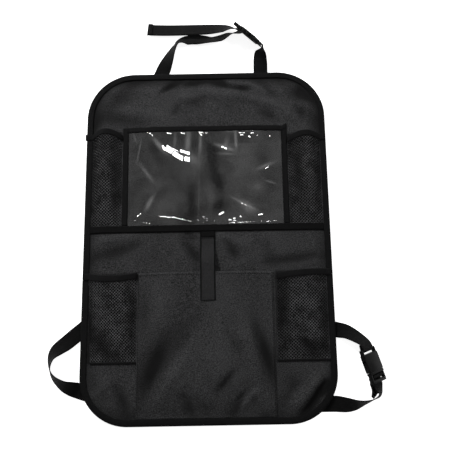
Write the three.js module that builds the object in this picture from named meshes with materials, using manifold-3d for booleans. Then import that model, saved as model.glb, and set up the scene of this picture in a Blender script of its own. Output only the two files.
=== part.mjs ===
// Car seat back organizer: a sewn fabric panel with a clear tablet window, four net pockets, one large pocket
// and two buckled webbing straps. It lies on its back, as it would on a table: X across, Y up the seat and
// Z out of the front. Millimetres. The pieces are placed from the middle of the panel's back face, and the
// whole is then moved so that the origin is on the table, under the middle of its outline.
import * as THREE from "three";
import { mergeVertices } from "three/addons/utils/BufferGeometryUtils.js";
import Module from "manifold-3d";

const wasm = await Module();
wasm.setup();

// Clearance between pieces that are sewn or laid on each other, and beside each other
const LAY = 0.3;
const BESIDE = 0.4;

// Panel and its edge tape
const PANEL_W = 415;
const PANEL_H = 600;
const TOP_R = 82;
const FOOT_R = 78;
const PANEL_T = 1.6;
const TAPE_T = 0.8;
const BINDING_W = 10;

// Tape across the panel below the window, and the tapes down its two sides
const BAND_Y = 18;
const BAND_W = 12;
const SIDE_TAPE_W = 10;
const WINDOW_W = 264;
const WINDOW_X = -2;
const WINDOW_TOP = 198;
const FILM_T = 0.6;
const FILM_BULGE = 7;

// Net pockets, with the elastic folded over each mouth
const NET_T = 1.0;
const NET_OPEN = 0.74;
const ELASTIC_T = 1.0;
const ELASTIC_W = 9;
const MOUTH_RISE = 12;
const UPPER_BULGE = 8;
const LOWER_BULGE = 11;
const NET_FOOT_Y = -203;
const LOWER_MOUTH_Y = -57;
const ELASTIC_OVER = 9;

// Large pocket between the lower net pockets, and the strap that closes it
const POCKET_LEFT = -116;
const POCKET_RIGHT = 108;
const POCKET_TOP = -57;
const POCKET_T = 1.2;
const POCKET_BULGE = 8;
const TAB_W = 25;
const TAB_T = 1.4;
const TAB_X = 1;
const TAB_END = -104;
const PATCH_T = 0.6;
const PATCH_W = 20;
const PATCH_L = 32;
const PATCH_INSET = 5;
const TAB_SEWN = 20;
const TAB_OVER = 12;

// Webbing and the side release buckles
const WEB_W = 25;
const WEB_T = 1.4;
const BUCKLE_W = 33;
const BUCKLE_T = 9.4;
const SOCKET_L = 29;
const SOCKET_WALL = 1.9;
const EYE_L = 8;
const LADDER_L = 18;
const END_BLOCK_L = 5;
const FRAME_T = 6;
const WEB_CLEAR = 0.35;
const BAR_R = 1.6;
const RAIL_W = 3.1;
const FLANGE_L = 3.3;
const PRONG_CLEAR = 0.4;
const ARM_T = 3.8;
const ARM_SPRING = 3.2;
const CATCH_BULGE = 0.9;
const GUIDE_W = 6;
const GUIDE_L = 16;
const SIDE_WALL = 2.2;
const GAP_FROM_MOUTH = 9;
const SIDE_GAP_L = 11;
const SOCKET_CORNER = 2.5;
const RAIL_CORNER = 1.2;

// Heights of the stack, from the panel's back face
const PANEL_TOP = PANEL_T;
const SEWN = PANEL_TOP + LAY;
const BINDING_TOP = SEWN + TAPE_T;
const FLOOR = -(LAY + TAPE_T + LAY + WEB_T);
const BAND_TOP_EDGE = BAND_Y + BAND_W / 2;
const BAND_LOW_EDGE = BAND_Y - BAND_W / 2;
const EDGE = PANEL_W / 2;
const HEAD = PANEL_H / 2;
const INSIDE_X = EDGE - BINDING_W - BESIDE;
const INSIDE_FOOT = BINDING_W + BESIDE - HEAD;

const colours = {
  panel: [0x2b2b2c, 0.85, 0],
  pocket: [0x2d2d2e, 0.85, 0],
  tape: [0x141415, 0.75, 0],
  net: [0x1b1b1c, 0.8, 0],
  film: [0x9a9a9a, 0.15, 0],
  webbing: [0x161616, 0.8, 0],
  plastic: [0x0c0c0d, 0.45, 0],
  hooks: [0x101011, 0.95, 0],
};

const organizer = new THREE.Group();

function material(kind) {
  const [color, roughness, metalness] = colours[kind];
  const clear = kind === "film";
  return new THREE.MeshStandardMaterial({
    color,
    roughness,
    metalness,
    transparent: clear,
    opacity: clear ? 0.3 : 1,
  });
}

function add(name, geometry, kind, parent = organizer) {
  const mesh = new THREE.Mesh(geometry, material(kind));
  mesh.name = name;
  parent.add(mesh);
  return mesh;
}

const smooth = (a, b, x) => THREE.MathUtils.smoothstep(x, a, b);
const lerp = THREE.MathUtils.lerp;

// A geometry from points and triangles, turned so that its faces point out.
function closedGeometry(points, triangles) {
  let volume = 0;
  const cross = new THREE.Vector3();
  for (const [a, b, c] of triangles) {
    volume += points[a].dot(cross.crossVectors(points[b], points[c]));
  }
  const index = triangles.flatMap(([a, b, c]) => (volume < 0 ? [a, c, b] : [a, b, c]));
  const geometry = new THREE.BufferGeometry().setFromPoints(points);
  geometry.setIndex(index);
  geometry.computeVertexNormals();
  return geometry;
}

// A solid swept through frames { at, side, up }: the profile's x runs along side and its y along up.
function sweep(profile, frames, closed = false) {
  const points = [];
  for (const { at, side, up } of frames) {
    for (const { x, y } of profile) {
      points.push(at.clone().addScaledVector(side, x).addScaledVector(up, y));
    }
  }
  const n = profile.length;
  const triangles = [];
  const rings = closed ? frames.length : frames.length - 1;
  for (let i = 0; i < rings; i++) {
    const here = i * n;
    const next = ((i + 1) % frames.length) * n;
    for (let j = 0; j < n; j++) {
      const k = (j + 1) % n;
      triangles.push([here + j, here + k, next + k], [here + j, next + k, next + j]);
    }
  }
  if (!closed) {
    const last = (frames.length - 1) * n;
    for (const [a, b, c] of THREE.ShapeUtils.triangulateShape(profile, [])) {
      triangles.push([c, b, a], [last + a, last + b, last + c]);
    }
  }
  return closedGeometry(points, triangles);
}

const polygon = (...pairs) => pairs.map(([x, y]) => new THREE.Vector2(x, y));

// A sheet over the unit square: low(u, v) is its underside. With open above 0 each cell has a diamond gap,
// that share of the cell across.
function sheet(columns, rows, thickness, low, open = 0) {
  const points = [];
  const pair = (p) => [0, thickness].map((rise) => points.push(p.clone().setZ(p.z + rise)) - 1);
  const triangles = [];
  const faces = (a, b, c) => triangles.push([a[0], c[0], b[0]], [a[1], b[1], c[1]]);
  const wall = (a, b) => triangles.push([a[0], b[0], b[1]], [a[0], b[1], a[1]]);
  const grid = Array.from({ length: rows + 1 }, (_, j) =>
    Array.from({ length: columns + 1 }, (_, i) => pair(low(i / columns, j / rows))),
  );
  const middle = (from, to, share) => points[from[0]].clone().lerp(points[to[0]], share);
  for (let j = 0; j < rows; j++) {
    for (let i = 0; i < columns; i++) {
      const corners = [grid[j][i], grid[j][i + 1], grid[j + 1][i + 1], grid[j + 1][i]];
      if (!open) {
        faces(corners[0], corners[1], corners[2]);
        faces(corners[0], corners[2], corners[3]);
        continue;
      }
      const centre = middle(corners[0], corners[1], 0.5).lerp(middle(corners[3], corners[2], 0.5), 0.5);
      const gap = corners.map((c, k) => pair(middle(c, corners[(k + 1) % 4], 0.5).lerp(centre, 1 - open)));
      for (let k = 0; k < 4; k++) {
        const m = (k + 1) % 4;
        faces(corners[k], corners[m], gap[k]);
        faces(corners[m], gap[m], gap[k]);
        wall(gap[m], gap[k]);
      }
    }
  }
  const rim = [
    ...grid[0].slice(0, -1),
    ...grid.slice(0, -1).map((row) => row[columns]),
    ...grid[rows].slice(1).reverse(),
    ...grid.slice(1).map((row) => row[0]).reverse(),
  ];
  rim.forEach((point, k) => wall(point, rim[(k + 1) % rim.length]));
  return closedGeometry(points, triangles);
}

// The panel's outline, taken in by inset all round
function outline(inset) {
  const x = PANEL_W / 2 - inset;
  const y = PANEL_H / 2 - inset;
  const [top, foot] = [TOP_R - inset, FOOT_R - inset];
  const shape = new THREE.Shape();
  shape.absarc(x - top, y - top, top, 0, Math.PI / 2);
  shape.absarc(-x + top, y - top, top, Math.PI / 2, Math.PI);
  shape.absarc(-x + foot, -y + foot, foot, Math.PI, 1.5 * Math.PI);
  shape.absarc(x - foot, -y + foot, foot, 1.5 * Math.PI, 2 * Math.PI);
  return shape;
}

const CORNER_STEPS = 10;

function backPanel() {
  const cut = outline(LAY + TAPE_T);
  return new THREE.ExtrudeGeometry(cut, { depth: PANEL_T, bevelEnabled: false, curveSegments: CORNER_STEPS });
}

// Tape folded over the panel's edge: the channel's web stands outside the edge, its legs on both faces.
function edgeBinding() {
  const outer = outline(0).getPoints(CORNER_STEPS);
  const inner = outline(BINDING_W).getPoints(CORNER_STEPS);
  const frames = outer.map((p, i) => ({
    at: new THREE.Vector3(p.x, p.y, 0),
    side: new THREE.Vector3(inner[i].x - p.x, inner[i].y - p.y, 0).normalize(),
    up: new THREE.Vector3(0, 0, 1),
  }));
  const under = -LAY - TAPE_T;
  const channel = polygon(
    [0, under], [BINDING_W, under], [BINDING_W, -LAY], [TAPE_T, -LAY],
    [TAPE_T, SEWN], [BINDING_W, SEWN], [BINDING_W, BINDING_TOP], [0, BINDING_TOP],
  );
  return sweep(channel, frames, true);
}

function flatTape(left, right, foot, top, low = SEWN, thickness = TAPE_T) {
  const tape = new THREE.BoxGeometry(right - left, top - foot, thickness);
  return tape.translate((left + right) / 2, (foot + top) / 2, low + thickness / 2);
}

// A pocket front: an edge sewn to the panel on three sides, a crown in the middle and an open mouth on top,
// where it lifts so that the folded tape on its edge clears the panel. Its last row lies inside that tape.
function pocketFront({ left, right, foot, mouth, bulge, rows, crown }) {
  const edge = LAY + ELASTIC_T;
  const lift = BINDING_TOP + LAY + edge - SEWN;
  const taped = 1 - 1 / rows;
  return (u, v) => {
    const top = mouth(u) - edge;
    const fold = top - ELASTIC_W;
    const y = v > taped ? lerp(fold, top, (v - taped) / (1 - taped)) : lerp(foot, fold, v / taped);
    const rise = lift * smooth(fold - MOUTH_RISE, fold, y);
    const below = Math.min(v / taped, 1);
    const x = lerp(left(below), right(below), u);
    return new THREE.Vector3(x, y, SEWN + rise + bulge * crown(u, v));
  };
}

// Tape folded over a pocket's mouth, following its edge and running past it by over at each end
function mouthTape(front, columns, thickness, over) {
  const edge = LAY + ELASTIC_T;
  const across = new THREE.Vector3(0, -1, 0);
  const up = new THREE.Vector3(0, 0, 1);
  const stations = Array.from({ length: columns + 1 }, (_, i) => front(i / columns, 1));
  const past = (from, by) => stations[from].clone().add(new THREE.Vector3(by, 0, 0));
  if (over[0]) stations.unshift(past(0, -over[0]));
  if (over[1]) stations.push(past(stations.length - 1, over[1]));
  const frames = stations.map((at) => ({ at, side: across, up }));
  const reach = ELASTIC_W - edge;
  const high = thickness + LAY;
  const channel = polygon(
    [-edge, -edge], [reach, -edge], [reach, -LAY], [-LAY, -LAY],
    [-LAY, high], [reach, high], [reach, high + ELASTIC_T], [-edge, high + ELASTIC_T],
  );
  return sweep(channel, frames);
}

const dome = (u) => 4 * u * (1 - u);
const arch = (a, middle, b) => (u) => lerp(a, b, u) + (middle - (a + b) / 2) * dome(u);

// Window: a clear film with its own tapes, open at the top for a tablet
const WINDOW_LEFT = WINDOW_X - WINDOW_W / 2;
const WINDOW_RIGHT = WINDOW_X + WINDOW_W / 2;
const LEFT_TAPE_OUT = WINDOW_LEFT - SIDE_TAPE_W;
const RIGHT_TAPE_OUT = WINDOW_RIGHT + SIDE_TAPE_W;
const FILM_COLUMNS = 14;
const FILM_ROWS = 8;

function addWindow() {
  const front = pocketFront({
    left: () => WINDOW_LEFT + BESIDE,
    right: () => WINDOW_RIGHT - BESIDE,
    foot: BAND_TOP_EDGE + BESIDE,
    mouth: () => WINDOW_TOP,
    bulge: FILM_BULGE,
    rows: FILM_ROWS,
    crown: (u, v) => smooth(0, 0.2, u) * smooth(0, 0.2, 1 - u) * smooth(0, 0.3, v),
  });
  add("window_film", sheet(FILM_COLUMNS, FILM_ROWS, FILM_T, front), "film");
  add("window_top_binding", mouthTape(front, FILM_COLUMNS, FILM_T, [0, 0]), "tape");
  const foot = BAND_TOP_EDGE + BESIDE;
  add("window_left_tape", flatTape(LEFT_TAPE_OUT, WINDOW_LEFT, foot, WINDOW_TOP), "tape");
  add("window_right_tape", flatTape(WINDOW_RIGHT, RIGHT_TAPE_OUT, foot, WINDOW_TOP), "tape");
}

// Net pockets. Each entry gives its sides, its foot, the mouth's line and how far the elastic runs past it.
const UPPER_NET = { columns: 4, rows: 11 };
const LOWER_NET = { columns: 6, rows: 9 };

const netPockets = {
  upper_left: {
    ...UPPER_NET,
    left: () => -INSIDE_X,
    right: () => LEFT_TAPE_OUT - BESIDE,
    foot: BAND_TOP_EDGE + BESIDE,
    mouth: arch(WINDOW_TOP - 11, WINDOW_TOP - 4, WINDOW_TOP - 15),
    bulge: UPPER_BULGE,
    over: [ELASTIC_OVER, 0],
  },
  upper_right: {
    ...UPPER_NET,
    left: () => RIGHT_TAPE_OUT + BESIDE,
    right: () => INSIDE_X,
    foot: BAND_TOP_EDGE + BESIDE,
    mouth: arch(WINDOW_TOP - 23, WINDOW_TOP - 13, WINDOW_TOP - 17),
    bulge: UPPER_BULGE,
    over: [0, ELASTIC_OVER],
  },
  lower_left: {
    ...LOWER_NET,
    left: (v) => lerp(6 - INSIDE_X, -INSIDE_X, v),
    right: () => POCKET_LEFT - BESIDE,
    foot: NET_FOOT_Y,
    mouth: arch(LOWER_MOUTH_Y, LOWER_MOUTH_Y - 5, LOWER_MOUTH_Y + 1),
    bulge: LOWER_BULGE,
    over: [ELASTIC_OVER, 0],
  },
  lower_right: {
    ...LOWER_NET,
    left: (v) => POCKET_RIGHT + BESIDE + lerp(3, 6, v),
    right: () => INSIDE_X,
    foot: NET_FOOT_Y,
    mouth: arch(LOWER_MOUTH_Y - 4, LOWER_MOUTH_Y, LOWER_MOUTH_Y + 2),
    bulge: LOWER_BULGE,
    over: [0, ELASTIC_OVER],
  },
};

function addNetPockets() {
  for (const [place, pocket] of Object.entries(netPockets)) {
    const front = pocketFront({ ...pocket, crown: (u, v) => dome(u) * smooth(0, 0.3, v) });
    add(`${place}_net`, sheet(pocket.columns, pocket.rows, NET_T, front, NET_OPEN), "net");
    add(`${place}_elastic`, mouthTape(front, pocket.columns, NET_T, pocket.over), "tape");
  }
}

// Large pocket, sewn down its sides and along the foot of the panel. Its front is level under the closing
// tab.
const POCKET_LEVEL = SEWN + POCKET_BULGE;
const POCKET_FACE = POCKET_LEVEL + POCKET_T;

function largePocket() {
  return sheet(14, 10, POCKET_T, (u, v) => {
    const sides = smooth(0, 0.25, u) * smooth(0, 0.25, 1 - u);
    const crown = sides * smooth(0, 0.3, v);
    const x = lerp(POCKET_LEFT, POCKET_RIGHT, u);
    return new THREE.Vector3(x, lerp(INSIDE_FOOT, POCKET_TOP, v), SEWN + POCKET_BULGE * crown);
  });
}

// Closing tab: webbing sewn below the band, over the pocket's mouth, with hook tape under its end
// and loop tape on the pocket.
const LOOP_LOW = POCKET_FACE + LAY;
const HOOK_LOW = LOOP_LOW + PATCH_T + LAY;
const TAB_LOW = HOOK_LOW + PATCH_T + LAY;
const TAB_STEPS = 16;

function closingTab() {
  const start = BAND_LOW_EDGE - BESIDE;
  const rise = start - TAB_SEWN;
  const frames = Array.from({ length: TAB_STEPS + 1 }, (_, i) => {
    const y = lerp(start, TAB_END, i / TAB_STEPS);
    const up = smooth(0, 1, (rise - y) / (rise - POCKET_TOP - TAB_OVER));
    return {
      at: new THREE.Vector3(TAB_X, y, lerp(SEWN, TAB_LOW, up)),
      side: new THREE.Vector3(1, 0, 0),
      up: new THREE.Vector3(0, 0, 1),
    };
  });
  const half = TAB_W / 2;
  return sweep(polygon([-half, 0], [half, 0], [half, TAB_T], [-half, TAB_T]), frames);
}

function patch(low) {
  const foot = TAB_END + PATCH_INSET;
  return flatTape(TAB_X - PATCH_W / 2, TAB_X + PATCH_W / 2, foot, foot + PATCH_L, low, PATCH_T);
}

// Buckles. In a buckle's own frame X runs from the ladder to the eye, Y across the webbing and Z out of its
// face.
const SOCKET_FROM = LADDER_L - (LADDER_L + SOCKET_L + EYE_L) / 2;
const SOCKET_TO = SOCKET_FROM + SOCKET_L;
const EYE_END = SOCKET_TO + EYE_L;
const LADDER_END = SOCKET_FROM - LADDER_L;
const HALF_W = BUCKLE_W / 2;
const SLOT_HALF = HALF_W - RAIL_W;
const FLANGE_FROM = SOCKET_FROM - LAY - FLANGE_L;
const EYE_BAR_X = EYE_END - BAR_R;
const WRAP_R = BAR_R + WEB_T / 2 + WEB_CLEAR;
const MID_BAR_X = FLANGE_FROM - WEB_CLEAR - WEB_T / 2 - WRAP_R;
const CAVITY_T = BUCKLE_T - 2 * SOCKET_WALL;
const PRONG_T = CAVITY_T - 2 * PRONG_CLEAR;
const CAVITY_HALF = HALF_W - SIDE_WALL;
const SIDE_GAP_FROM = SOCKET_FROM + GAP_FROM_MOUTH;
const SIDE_GAP_TO = SIDE_GAP_FROM + SIDE_GAP_L;

function solid(geometry) {
  const g = geometry.index ? geometry.clone() : mergeVertices(geometry);
  g.deleteAttribute("normal");
  g.deleteAttribute("uv");
  const merged = mergeVertices(g);
  return new wasm.Manifold(
    new wasm.Mesh({
      numProp: 3,
      vertProperties: new Float32Array(merged.attributes.position.array),
      triVerts: new Uint32Array(merged.index.array),
    }),
  );
}

function geometryOf(manifold) {
  const { vertProperties, triVerts } = manifold.getMesh();
  const geometry = new THREE.BufferGeometry();
  geometry.setAttribute("position", new THREE.BufferAttribute(vertProperties, 3));
  geometry.setIndex(new THREE.BufferAttribute(triVerts, 1));
  geometry.computeVertexNormals();
  return geometry;
}

// A plate in the buckle's plane with rounded corners, thickness about the middle
function plate(x0, x1, y0, y1, thickness, corner = 0) {
  const shape = new THREE.Shape();
  shape.moveTo(x0 + corner, y0);
  shape.lineTo(x1 - corner, y0);
  if (corner) shape.absarc(x1 - corner, y0 + corner, corner, -Math.PI / 2, 0);
  shape.lineTo(x1, y1 - corner);
  if (corner) shape.absarc(x1 - corner, y1 - corner, corner, 0, Math.PI / 2);
  shape.lineTo(x0 + corner, y1);
  if (corner) shape.absarc(x0 + corner, y1 - corner, corner, Math.PI / 2, Math.PI);
  shape.lineTo(x0, y0 + corner);
  if (corner) shape.absarc(x0 + corner, y0 + corner, corner, Math.PI, 1.5 * Math.PI);
  const made = new THREE.ExtrudeGeometry(shape, { depth: thickness, bevelEnabled: false, curveSegments: 4 });
  return solid(made.translate(0, 0, -thickness / 2));
}

function bar(x) {
  const rod = new THREE.CylinderGeometry(BAR_R, BAR_R, 2 * SLOT_HALF + RAIL_W, 12);
  return solid(rod.translate(x, 0, 0));
}

// The two rails beside the webbing, from x0 to x1
function rails(x0, x1) {
  return [-1, 1].map((side) => {
    const [low, high] = side < 0 ? [-HALF_W, -SLOT_HALF] : [SLOT_HALF, HALF_W];
    return plate(x0, x1, low, high, FRAME_T, RAIL_CORNER);
  });
}

const joined = (first, others) => others.reduce((all, piece) => all.add(piece), first);

// The socket half: a flat box, open at the mouth and at both sides, with an eye for the sewn strap
function buckleSocket() {
  const box = plate(SOCKET_FROM, SOCKET_TO, -HALF_W, HALF_W, BUCKLE_T, SOCKET_CORNER);
  const hollow = plate(SOCKET_FROM - 1, SOCKET_TO - SOCKET_CORNER, -CAVITY_HALF, CAVITY_HALF, CAVITY_T);
  const sideGaps = plate(SIDE_GAP_FROM, SIDE_GAP_TO, -HALF_W - 1, HALF_W + 1, CAVITY_T);
  const shell = box.subtract(hollow).subtract(sideGaps);
  return geometryOf(joined(shell, [...rails(SOCKET_TO - SOCKET_CORNER, EYE_END), bar(EYE_BAR_X)]));
}

// One springy side arm: straight from the flange, then a shoulder that catches in the socket's side gap
function prong(side) {
  const outer = CAVITY_HALF - ARM_SPRING;
  const inner = outer - ARM_T;
  const shoulder = SIDE_GAP_FROM + PRONG_CLEAR;
  const tip = SIDE_GAP_TO - PRONG_CLEAR;
  const face = HALF_W - CATCH_BULGE;
  const shape = new THREE.Shape();
  shape.moveTo(FLANGE_FROM + 1, side * inner);
  shape.lineTo(tip - 2, side * inner);
  shape.lineTo(tip, side * (outer - 1));
  shape.lineTo(tip - 3, side * face);
  shape.quadraticCurveTo(shoulder + 1, side * (face + CATCH_BULGE), shoulder, side * face);
  shape.lineTo(shoulder, side * outer);
  shape.lineTo(FLANGE_FROM + 1, side * outer);
  const made = new THREE.ExtrudeGeometry(shape, { depth: PRONG_T, bevelEnabled: false, curveSegments: 5 });
  return solid(made.translate(0, 0, -PRONG_T / 2));
}

// The prong half: a ladder that the webbing wraps, closed by a wide end block, then a flange, two side arms
// and a middle guide
function buckleProngs() {
  const flange = plate(FLANGE_FROM, SOCKET_FROM - LAY, -HALF_W, HALF_W, BUCKLE_T - 1, 0.8);
  const guide = plate(FLANGE_FROM + 1, SOCKET_FROM + GUIDE_L, -GUIDE_W / 2, GUIDE_W / 2, PRONG_T, 1.5);
  const endBlock = plate(LADDER_END, LADDER_END + END_BLOCK_L, -HALF_W, HALF_W, FRAME_T, RAIL_CORNER);
  const ladder = [...rails(LADDER_END + 1, FLANGE_FROM + 1), endBlock, bar(MID_BAR_X)];
  return geometryOf(joined(flange, [guide, ...ladder, prong(-1), prong(1)]));
}

// Where a buckle lies: its middle, the heading of its X axis and how far it leans over, in degrees
function buckleFrame({ x, y, heading, lean, lift = 0 }) {
  const [h, r] = [heading, lean].map(THREE.MathUtils.degToRad);
  const along = new THREE.Vector3(Math.cos(h), Math.sin(h), 0);
  const level = new THREE.Vector3(-Math.sin(h), Math.cos(h), 0);
  const across = level.multiplyScalar(Math.cos(r)).setZ(Math.sin(r));
  const out = new THREE.Vector3().crossVectors(along, across);
  const height = HALF_W * Math.abs(Math.sin(r)) + (BUCKLE_T / 2) * Math.abs(Math.cos(r));
  return { along, across, out, at: new THREE.Vector3(x, y, FLOOR + height + lift) };
}

const topBuckle = buckleFrame({ x: 77, y: HEAD + 69, heading: -43, lean: 113 });
const sideBuckle = buckleFrame({ x: EDGE + 55, y: 88.5 - HEAD, heading: 107.5, lean: 38, lift: 1.5 });

function addBuckle(name, frame) {
  const pair = new THREE.Group();
  pair.matrixAutoUpdate = false;
  pair.matrix.makeBasis(frame.along, frame.across, frame.out).setPosition(frame.at);
  add(`${name}_buckle_socket`, buckleSocket(), "plastic", pair);
  add(`${name}_buckle_prongs`, buckleProngs(), "plastic", pair);
  organizer.add(pair);
}

// Webbing runs through stations { at, across }. lies() puts one on the floor with its heading and its lean
// over one edge, in degrees; lift raises it.
function lies(x, y, heading, lean = 0, lift = 0) {
  const [h, r] = [heading, lean].map(THREE.MathUtils.degToRad);
  const height = (WEB_W / 2) * Math.abs(Math.sin(r)) + (WEB_T / 2) * Math.abs(Math.cos(r));
  const across = new THREE.Vector3(-Math.sin(h) * Math.cos(r), Math.cos(h) * Math.cos(r), Math.sin(r));
  return { at: new THREE.Vector3(x, y, FLOOR + height + lift), across };
}

// The same, placed from the panel's top edge, or from its left or right edge and its foot
const pastHead = (x, y, ...rest) => lies(x, HEAD + y, ...rest);
const pastLeft = (x, y, ...rest) => lies(-EDGE - x, y - HEAD, ...rest);
const pastRight = (x, y, ...rest) => lies(EDGE + x, y - HEAD, ...rest);

// A station in a buckle's own frame: along its X, out of its face, and aside along its Y
function inBuckle(frame, along, out, aside = 0) {
  const at = frame.at.clone().addScaledVector(frame.along, along).addScaledVector(frame.out, out);
  return { at: at.addScaledVector(frame.across, aside), across: frame.across.clone() };
}

// Half a turn round a bar, from one side of it to the other
function wrap(frame, barX, from, to, steps = 4) {
  return Array.from({ length: steps + 1 }, (_, i) => {
    const angle = THREE.MathUtils.degToRad(lerp(from, to, i / steps));
    return inBuckle(frame, barX + WRAP_R * Math.cos(angle), WRAP_R * Math.sin(angle));
  });
}

// Steps along the webbing from one station to the next
const WEB_STEPS = 3;

function webbing(stations) {
  for (let i = 1; i < stations.length; i++) {
    if (stations[i].across.dot(stations[i - 1].across) < 0) stations[i].across.negate();
  }
  const line = new THREE.CatmullRomCurve3(stations.map((s) => s.at));
  const count = (stations.length - 1) * WEB_STEPS;
  const [w, t] = [WEB_W / 2, WEB_T / 2];
  const frames = Array.from({ length: count + 1 }, (_, i) => {
    const from = Math.min(Math.floor(i / WEB_STEPS), stations.length - 2);
    const tangent = line.getTangent(i / count);
    const side = stations[from].across.clone().lerp(stations[from + 1].across, i / WEB_STEPS - from);
    side.addScaledVector(tangent, -side.dot(tangent)).normalize();
    const up = new THREE.Vector3().crossVectors(tangent, side);
    const at = line.getPoint(i / count);
    at.z = Math.max(at.z, FLOOR + w * Math.abs(side.z) + t * Math.abs(up.z));
    return { at, side, up };
  });
  return sweep(polygon([-w, -t], [w, -t], [w, t], [-w, t]), frames);
}

// Top strap, sewn behind the panel's top edge: the long end wraps the ladder and runs back as a loose tail.
function topStrapLong() {
  const b = topBuckle;
  return webbing([
    pastHead(-90, -26, 67), pastHead(-80, -1, 67), pastHead(-75, 11, 66), pastHead(-68, 25, 65, -26),
    pastHead(-60, 41, 60, -50), pastHead(-51, 54, 42, -62), pastHead(-34, 62, 10, -24),
    pastHead(-12, 63, 2, -22), pastHead(10, 60, 4, -46), pastHead(27, 63.5, 24, -38),
    pastHead(44, 72.5, 34, -52, 2), inBuckle(b, MID_BAR_X + WRAP_R - 0.6, 5),
    ...wrap(b, MID_BAR_X, 0, -180), inBuckle(b, MID_BAR_X - WRAP_R - 0.3, 4),
    pastHead(47, 83, 168, 52, 4), pastHead(34, 84.5, 170, 32, 4), pastHead(8, 85.3, 178, 20, 2.5),
    pastHead(-30, 85.5, 180, 17, 1.5), pastHead(-70, 86.5, 178, 15, 0.3), pastHead(-104, 88, 177, 15),
  ]);
}

function topStrapShort() {
  const b = topBuckle;
  return webbing([
    pastHead(98, -26, 90), pastHead(98.5, 2, 90), pastHead(98.5, 16, 90, -10),
    pastHead(98.3, 28, 92, -30), pastHead(99.5, 38, 104, -58, 3), inBuckle(b, EYE_BAR_X + 6, -2),
    inBuckle(b, EYE_BAR_X + 2, 0.1 - WRAP_R), ...wrap(b, EYE_BAR_X, 270, 90),
    inBuckle(b, EYE_BAR_X + 2.5, WRAP_R - 0.1), inBuckle(b, EYE_BAR_X + 5, 2.2),
  ]);
}

// Lower strap, sewn behind the panel's left edge: it loops out, crosses behind the panel and wraps the ladder.
function sideStrapLong() {
  const b = sideBuckle;
  return webbing([
    pastLeft(-21.5, 169, 220), pastLeft(0.5, 151, 220), pastLeft(10.5, 143, 220),
    pastLeft(23.5, 132, 219, 8), pastLeft(38.5, 120, 224, 30), pastLeft(46, 107, 246, 56),
    pastLeft(46.5, 90, 270, 73), pastLeft(40, 77, 306, 64), pastLeft(25.5, 65, 333, 50),
    pastLeft(16.5, 61, 337, 14), pastLeft(5.5, 57.5, 340), pastLeft(-11.5, 52, 342),
    pastLeft(-57.5, 41, 350), lies(0, 31 - HEAD, 357), pastRight(-57.5, 29, 0), pastRight(-4.5, 29, 0),
    pastRight(13.5, 27.5, 0, 26), pastRight(30.5, 28.5, 2, 58), pastRight(43.5, 31.5, 14, 74),
    pastRight(55.5, 36, 30, 82), pastRight(64.5, 43.5, 64, 66), inBuckle(b, LADDER_END - 4, -4.8),
    inBuckle(b, LADDER_END + 4, -4.7), inBuckle(b, MID_BAR_X - WRAP_R - 1, -3.2),
    ...wrap(b, MID_BAR_X, 180, 0), inBuckle(b, MID_BAR_X + WRAP_R - 0.5, -3.4),
    inBuckle(b, MID_BAR_X - 1, -6.3), inBuckle(b, LADDER_END + 3, -7.1),
    inBuckle(b, LADDER_END - 4, -8.1, 2.5), pastRight(56, 47, 262, -56, 1.5),
    pastRight(52, 38, 262, -68, 1),
  ]);
}

function sideStrapShort() {
  const b = sideBuckle;
  return webbing([
    pastRight(-23.5, 151, 350), pastRight(4.5, 145.5, 348), pastRight(17.5, 142, 338, -24, 0.5),
    pastRight(31.5, 134, 322, -36, 3), inBuckle(b, EYE_BAR_X + 11, 0.6),
    inBuckle(b, EYE_BAR_X + 4, WRAP_R - 0.2), ...wrap(b, EYE_BAR_X, 90, 270),
    inBuckle(b, EYE_BAR_X + 4, 0.4 - WRAP_R), inBuckle(b, EYE_BAR_X + 10, -1.4),
  ]);
}

add("back_panel", backPanel(), "panel");
add("edge_binding", edgeBinding(), "tape");
add("divider_band", flatTape(-INSIDE_X, INSIDE_X, BAND_LOW_EDGE, BAND_TOP_EDGE), "tape");
addWindow();
addNetPockets();
add("large_pocket", largePocket(), "pocket");
add("closing_tab", closingTab(), "webbing");
add("hook_patch", patch(HOOK_LOW), "hooks");
add("loop_patch", patch(LOOP_LOW), "hooks");
addBuckle("top", topBuckle);
addBuckle("side", sideBuckle);
add("top_strap_long", topStrapLong(), "webbing");
add("top_strap_short", topStrapShort(), "webbing");
add("side_strap_long", sideStrapLong(), "webbing");
add("side_strap_short", sideStrapShort(), "webbing");

// The origin goes to the table, under the middle of the whole outline.
organizer.updateMatrixWorld(true);
const whole = new THREE.Box3().setFromObject(organizer, true);
const middle = whole.getCenter(new THREE.Vector3());
organizer.position.set(-middle.x, -middle.y, -whole.min.z);

export default organizer;
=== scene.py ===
# A car seat back organizer as it lies on a table: a cloth panel with a clear window, net pockets, a large
# pocket with its closing tab, and two buckled straps. Shapes are in millimetres from the middle of the
# panel's back until a piece is made.
import math

import bmesh
import bpy
import numpy as np
from mathutils import Matrix, Vector


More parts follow.
